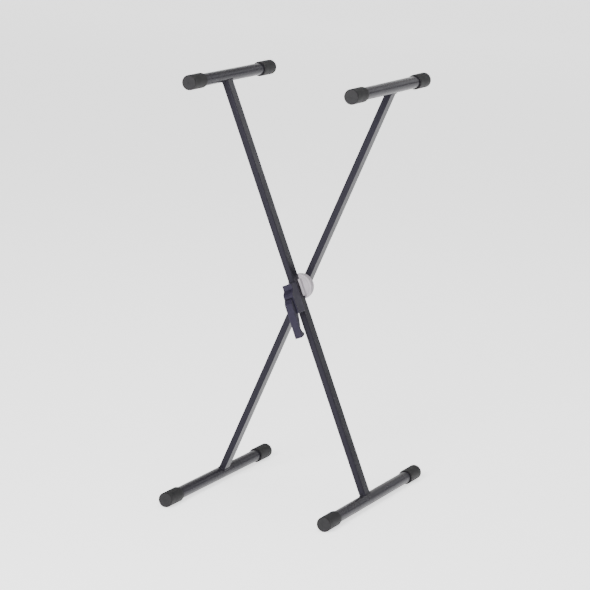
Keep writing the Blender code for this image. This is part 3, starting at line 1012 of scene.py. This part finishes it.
@dataclass
class LeverSet:
    """Housing and release lever, as depths in front of the front leg and heights along it."""

    leg_face: float = LEG_SPACING / 2 + LEG_DEPTH
    housing_width: float = 0.024
    wall: float = 0.0025
    top: float = 0.0140
    bottom: float = -0.055
    brow_depth: float = 0.0290
    brow_bottom: float = 0.0015
    slant_depth: float = 0.0385
    slant_bottom: float = -0.0060
    full_depth: float = 0.0405
    shoulder: float = -0.0120
    mouth_top: float = -0.0175
    corner_drop: float = 0.0015
    cover_edge: float = 0.0014
    lever_edge: float = 0.0013
    fine_edge: float = 0.0004
    bridge_start: float = 0.0559
    bridge_wall: float = 0.0020
    bridge_height: float = 0.0160
    screw_height: float = -0.048
    screw_bore: float = 0.0018
    fork_start: float = 0.0614
    fork_thickness: float = 0.0030
    fork_top: float = -0.015
    fork_root: float = -0.029
    fork_slot_bottom: float = -0.0284
    fork_slot_reach: float = 0.006
    fulcrum_depth: float = 0.034
    fulcrum_height: float = -0.040
    fulcrum_radius: float = 0.0020
    play: float = 0.0005
    front_line: tuple[Pair, ...] = ((0.0335, -0.0275), (0.0355, -0.0185), (0.0465, -0.0185),
                                    (0.0530, -0.0285), (0.0545, -0.1090))
    back_line: tuple[Pair, ...] = ((0.0420, -0.1063), (0.0385, -0.1045), (0.0370, -0.1025),
                                   (0.0370, -0.1005), (0.0430, -0.0965), (0.0465, -0.0910),
                                   (0.0473, -0.0885), (0.0312, -0.0490))
    heel: float = -0.0340
    sharp: float = 60.0

    def build(self, shop: Workshop, leg: LegFrame, finishes: Finishes) -> None:
        """Make the housing and the lever.

        Args:
            shop: the workshop.
            leg: the front leg's frame.
            finishes: the stand's finishes.
        """
        self.housing(shop, leg, finishes)
        self.lever(shop, leg, finishes)

    def cross_rod(self, radius: float, width: float) -> bmesh.types.BMesh:
        """A round rod across the leg at the fulcrum.

        Args:
            radius: its radius.
            width: its length across the leg.

        Returns:
            A closed solid in the front leg's frame.
        """
        form = bmesh.new()
        bmesh.ops.create_cone(form, cap_ends=True, segments=BORE_SIDES, radius1=radius,
                              radius2=radius, depth=width)
        bmesh.ops.rotate(form, verts=form.verts, cent=(0, 0, 0),
                         matrix=Matrix.Rotation(math.pi / 2, 3, "Y"))
        place = (0, -(self.leg_face + self.fulcrum_depth), self.fulcrum_height)
        bmesh.ops.translate(form, verts=form.verts, vec=place)
        return form

    def housing(self, shop: Workshop, leg: LegFrame, finishes: Finishes) -> None:
        """Make the housing, open at its foot and low on its front.

        Args:
            shop: the workshop.
            leg: the front leg's frame.
            finishes: the stand's finishes.
        """
        face = self.leg_face
        back = face + CLEARANCE
        outline = [(back, self.top), (face + self.brow_depth, self.top),
                   (face + self.brow_depth, self.brow_bottom),
                   (face + self.slant_depth, self.slant_bottom),
                   (face + self.full_depth, self.shoulder), (face + self.full_depth, self.bottom),
                   (back, self.bottom)]
        form = Shapes.plate(outline, self.housing_width, leg.side, self.cover_edge)
        shell = shop.draft("lever_cover", form)
        floor = back + self.wall
        ceiling = self.top - self.wall
        inside = face - self.wall
        outside = face + self.full_depth + FAR_PAST
        below = self.bottom - FAR_PAST
        room = [(floor, ceiling), (inside + self.brow_depth, ceiling),
                (inside + self.brow_depth, self.brow_bottom - self.corner_drop),
                (inside + self.slant_depth, self.slant_bottom - self.corner_drop),
                (inside + self.full_depth, self.shoulder),
                (inside + self.full_depth, self.mouth_top), (outside, self.mouth_top),
                (outside, below), (floor, below)]
        room_width = self.housing_width - 2 * self.wall
        shop.carve(shell, Shapes.plate(room, room_width, leg.side))
        shop.ease(shell, self.fine_edge, self.sharp)
        half = room_width / 2 + self.wall / 2
        bridge_end = self.bridge_start + self.bridge_wall
        bridge = Shapes.block((-half, half), (self.bridge_start, bridge_end),
                              (-PIN_OFFSET - self.bridge_height / 2,
                               -PIN_OFFSET + self.bridge_height / 2), leg.side)
        shop.carve(shell, bridge, Cut.JOIN)
        for radius, height, end in ((PIN_BORE, -PIN_OFFSET, bridge_end), (BOLT_BORE, 0.0, floor),
                                    (self.screw_bore, self.screw_height, floor)):
            shop.drill(shell, radius, (face, end + CUT_PAST), leg.side, (0, height),
                       PIN_BORE_SIDES)
        bore = self.fulcrum_radius + CLEARANCE
        shop.carve(shell, self.cross_rod(bore, self.housing_width + FAR_PAST))
        shop.mount(shell, leg, finishes.lever, ["lever_housing"])
        pin = self.cross_rod(self.fulcrum_radius, self.housing_width - 2 * CLEARANCE)
        rims = [edge for edge in pin.edges if edge.calc_face_angle(0.0) > 1.0]
        Shapes.round_edges(pin, rims, self.fine_edge, FINE_STEPS)
        shop.mount(shop.draft("fulcrum_pin", pin), leg, finishes.black_steel,
                   ["lever_pin"])

    def lever(self, shop: Workshop, leg: LegFrame, finishes: Finishes) -> None:
        """Make the lever with its fork, its flared tip and rounded edges.

        Args:
            shop: the workshop.
            leg: the front leg's frame.
            finishes: the stand's finishes.
        """
        face = self.leg_face
        fork_front = self.fork_start + self.fork_thickness
        outline = [(self.fork_start, self.fork_top), (fork_front, self.fork_top),
                   (fork_front, self.fork_root)]
        outline += [(face + depth, height) for depth, height in self.front_line + self.back_line]
        outline.append((self.fork_start, self.heel))
        width = self.housing_width - 2 * self.wall - 2 * self.play
        form = Shapes.plate(outline, width, leg.side, self.lever_edge)
        lever = shop.draft("squeeze_lever", form)
        half_slot = PIN_RADIUS + self.play
        past = 2 * CUT_PAST
        slot = Shapes.block((-half_slot, half_slot),
                            (self.fork_start - past, fork_front + self.fork_slot_reach),
                            (self.fork_slot_bottom, self.fork_top + past), leg.side)
        shop.carve(lever, slot)
        bore = self.fulcrum_radius + CLEARANCE
        shop.carve(lever, self.cross_rod(bore, self.housing_width + FAR_PAST))
        shop.mount(lever, leg, finishes.lever, ["release_lever"], body="lever")


@dataclass
class LockCoil:
    """The lock pin's spring, wound at rest from its collar to the housing's bridge."""

    wire: float = 0.0004
    wire_sides: int = 12
    radius: float = 0.00355
    start: float = 0.0464
    length: float = 0.0092
    turns: float = 4.5
    steps: int = 144
    closed_share: float = 0.391

    def build(self, shop: Workshop, leg: LegFrame, finish: Finish) -> None:
        """Wind the spring from its collar to the bridge.

        Args:
            shop: the workshop.
            leg: the front leg's frame.
            finish: the wire's plate.
        """
        rise = self.length - 2 * self.wire
        form = bmesh.new()
        bmesh.ops.create_circle(form, cap_ends=True, segments=self.wire_sides, radius=self.wire)
        place = (self.radius, leg.side * (self.start + self.wire), 0)
        bmesh.ops.translate(form, verts=form.verts, vec=place)
        bmesh.ops.spin(form, geom=form.verts[:] + form.edges[:] + form.faces[:], cent=(0, 0, 0),
                       axis=(0, 1, 0), dvec=(0, leg.side * rise / self.steps, 0),
                       angle=2 * math.pi * self.turns, steps=self.steps, use_merge=False)
        bmesh.ops.recalc_face_normals(form, faces=form.faces)
        bmesh.ops.translate(form, verts=form.verts, vec=(0, 0, -PIN_OFFSET))
        coil = shop.mount(shop.draft("lock_coil", form), leg, finish, ["lock_spring"])
        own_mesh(coil)


@dataclass
class PivotHardware:
    """The lock nut at the back end of the pivot bolt."""

    hex_radius: float = 0.0075
    chamfer: float = 0.0009
    face_bevel: float = 0.0002
    past_corner: float = 0.0001
    nut_low: float = 0.0450
    nut_height: float = 0.0080
    collar_height: float = 0.0022
    collar_radius: float = 0.0062
    collar_edge: float = 0.0006

    def build(self, shop: Workshop, leg: LegFrame, finishes: Finishes) -> None:
        """Make the lock nut.

        Args:
            shop: the workshop.
            leg: the front leg's frame, which carries the bolt.
            finishes: the stand's finishes.
        """
        low = self.nut_low
        hex_high = low + self.nut_height - self.collar_height
        top = low + self.nut_height
        form = bmesh.new()
        bmesh.ops.create_cone(form, cap_ends=True, segments=6, radius1=self.hex_radius,
                              radius2=self.hex_radius, depth=hex_high - low)
        bmesh.ops.rotate(form, verts=form.verts, cent=(0, 0, 0),
                         matrix=Matrix.Rotation(math.pi / 2, 3, "X"))
        bmesh.ops.translate(form, verts=form.verts, vec=(0, (low + hex_high) / 2, 0))
        nut = shop.draft("lock_nut", form)
        face = self.hex_radius * math.cos(math.pi / 6) - self.face_bevel
        corner = self.hex_radius + self.past_corner
        lens = [(0, hex_high), (face, hex_high), (corner, hex_high - self.chamfer),
                (corner, low + self.chamfer), (face, low), (0, low)]
        shop.carve(nut, Shapes.turned(lens, 1), Cut.COMMON)
        edge = self.collar_edge
        rim = Shapes.arc((self.collar_radius - edge, top - edge), edge, 90, 0, EDGE_STEPS)
        collar = [(0, top)] + rim + [(self.collar_radius, hex_high - CUT_PAST),
                                     (0, hex_high - CUT_PAST)]
        shop.carve(nut, Shapes.turned(collar, 1), Cut.JOIN)
        shop.drill(nut, BOLT_BORE, (low - CUT_PAST, top + CUT_PAST), 1)
        shop.mount(nut, leg, finishes.zinc, ["pivot_nut"])


@dataclass
class Viewpoint:
    """Camera fitted to the photograph, in metres and degrees, aimed past the pivot."""

    azimuth: float = 23.57
    elevation: float = 10.78
    roll: float = 2.18
    distance: float = 6.2874
    right: float = -0.01265
    up: float = -0.02060
    lens: float = 167.52
    sensor: float = 36.0
    far_clip: float = 100.0

    def place(self, pivot_height: float) -> None:
        """Add the camera and make it the scene's.

        Args:
            pivot_height: height of the pivot over the floor.
        """
        turn, rise, roll = (math.radians(v) for v in (self.azimuth, self.elevation, self.roll))
        back = Vector((math.sin(turn) * math.cos(rise), -math.cos(turn) * math.cos(rise),
                       math.sin(rise)))
        right = back.cross(Vector((0, 0, -1))).normalized()
        up = right.cross(-back)
        spot = Vector((0, 0, pivot_height)) + back * self.distance
        spot += right * self.right + up * self.up
        rolled_right = right * math.cos(roll) + up * math.sin(roll)
        rolled_up = up * math.cos(roll) - right * math.sin(roll)
        data = bpy.data.cameras.new("photo_camera")
        data.lens = self.lens
        data.sensor_width = self.sensor
        data.clip_end = self.far_clip
        camera = bpy.data.objects.new("photo_camera", data)
        turned = Matrix((rolled_right, rolled_up, back)).transposed().to_4x4()
        camera.matrix_world = Matrix.Translation(spot) @ turned
        bpy.context.scene.collection.objects.link(camera)
        bpy.context.scene.camera = camera


@dataclass(frozen=True)
class SoftLight:
    """A soft square light that faces the stand, in metres and watts."""

    name: str
    spot: Triple
    size: float
    power: float
    aim: Triple = (0.0, 0.0, 0.5)

    def place(self) -> None:
        """Add the light to the scene."""
        data = bpy.data.lights.new(self.name, "AREA")
        data.shape = "SQUARE"
        data.size = self.size
        data.energy = self.power
        lamp = bpy.data.objects.new(self.name, data)
        lamp.location = self.spot
        way = Vector(self.aim) - Vector(self.spot)
        lamp.rotation_euler = way.to_track_quat("-Z", "Y").to_euler()
        bpy.context.scene.collection.objects.link(lamp)


@dataclass
class Studio:
    """White sweep, soft lights and an even white surround."""

    reach: float = 30.0
    near: float = -30.0
    far: float = 11.0
    bend: float = 2.0
    bend_steps: int = 16
    height: float = 6.0
    surround: float = 0.27
    key: SoftLight = SoftLight("key", (0.2, -5.2, 2.6), 1.9, 540.0)
    top: SoftLight = SoftLight("top", (0.0, 0.6, 4.6), 4.0, 120.0)

    def build(self, shop: Workshop) -> None:
        """Make the sweep and the lights.

        Args:
            shop: the workshop.
        """
        form = bmesh.new()
        line = [(self.near, 0.0)]
        line += [(self.far + self.bend * math.sin(a), self.bend - self.bend * math.cos(a))
                 for a in (math.pi / 2 * i / self.bend_steps for i in range(self.bend_steps + 1))]
        line.append((self.far + self.bend, self.height))
        points = [form.verts.new((-self.reach, y, z)) for y, z in line]
        edges = [form.edges.new(pair) for pair in zip(points, points[1:])]
        grown = bmesh.ops.extrude_edge_only(form, edges=edges)
        moved = [item for item in grown["geom"] if isinstance(item, bmesh.types.BMVert)]
        bmesh.ops.translate(form, vec=(2 * self.reach, 0, 0), verts=moved)
        bmesh.ops.recalc_face_normals(form, faces=form.faces)
        sweep = shop.draft("studio_sweep", form)
        sweep.data.shade_smooth()
        sweep.data.materials.append(shop.finish(StudioPaper()))
        self.key.place()
        self.top.place()
        world = bpy.data.worlds.new("studio")
        world.use_nodes = True
        backdrop = world.node_tree.nodes["Background"]
        backdrop.inputs["Color"].default_value = (1.0, 1.0, 1.0, 1.0)
        backdrop.inputs["Strength"].default_value = self.surround
        bpy.context.scene.world = world


class KeyboardStand:
    """The whole stand, dressed over its frame."""

    def __init__(self, frame: dict[str, Any]) -> None:
        """Read the pivot from the frame and lean each leg by HALF_SPREAD.
        """
        self.frame = frame
        self.shop = Workshop()
        self.finishes = Finishes()
        fold = [joint for joint in frame["joints"] if joint["name"] == "fold"][0]
        height = fold["pos_m"][2]
        tilt = math.radians(HALF_SPREAD)
        self.front = LegFrame("front_frame", -1, -tilt, height)
        self.rear = LegFrame("rear_frame", 1, tilt, height)

    def build(self) -> None:
        """Make every piece that shows and dress the rest."""
        for leg in (self.front, self.rear):
            LegTube().build(self.shop, leg, self.finishes.paint, has_lock=leg.side < 0)
            Bar("arm", ARM_LENGTH, 1).build(self.shop, leg, self.finishes)
            Bar("foot", FOOT_LENGTH, -1).build(self.shop, leg, self.finishes)
            HubHalf().build(self.shop, leg, self.finishes.hub)
        LeverSet().build(self.shop, self.front, self.finishes)
        LockCoil().build(self.shop, self.front, self.finishes.zinc)
        PivotHardware().build(self.shop, self.front, self.finishes)
        self.dress_small_parts()

    def dress_small_parts(self) -> None:
        """Give the frame's own nodes that stay their finish."""
        plates = {
            self.finishes.zinc: ("pivot_bolt", "head_washer", "nut_washer", "front_sleeve",
                                 "rear_sleeve", "hub_front_screw_upper", "hub_front_screw_lower",
                                 "hub_rear_screw_upper", "hub_rear_screw_lower", "housing_screw"),
            self.finishes.black_steel: ("lock_pin",),
            self.finishes.nylon: ("thrust_washer", "slip_washer"),
        }
        for finish, nodes in plates.items():
            for node in nodes:
                item = self.frame["nodes"][node]
                item.data.materials.clear()
                item.data.materials.append(self.shop.finish(finish))
                item.data.shade_smooth()
                item.data.set_sharp_from_angle(angle=math.radians(SMALL_PART_CREASE))
                LOG.info("dressed %s", node)


def main() -> None:
    """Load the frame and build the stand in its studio."""
    logging.basicConfig(level=logging.INFO, format="%(message)s")
    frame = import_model()
    stand = KeyboardStand(frame)
    Viewpoint().place(stand.front.pivot_height)
    stand.build()
    Studio().build(stand.shop)


if __name__ == "__main__":
    main()
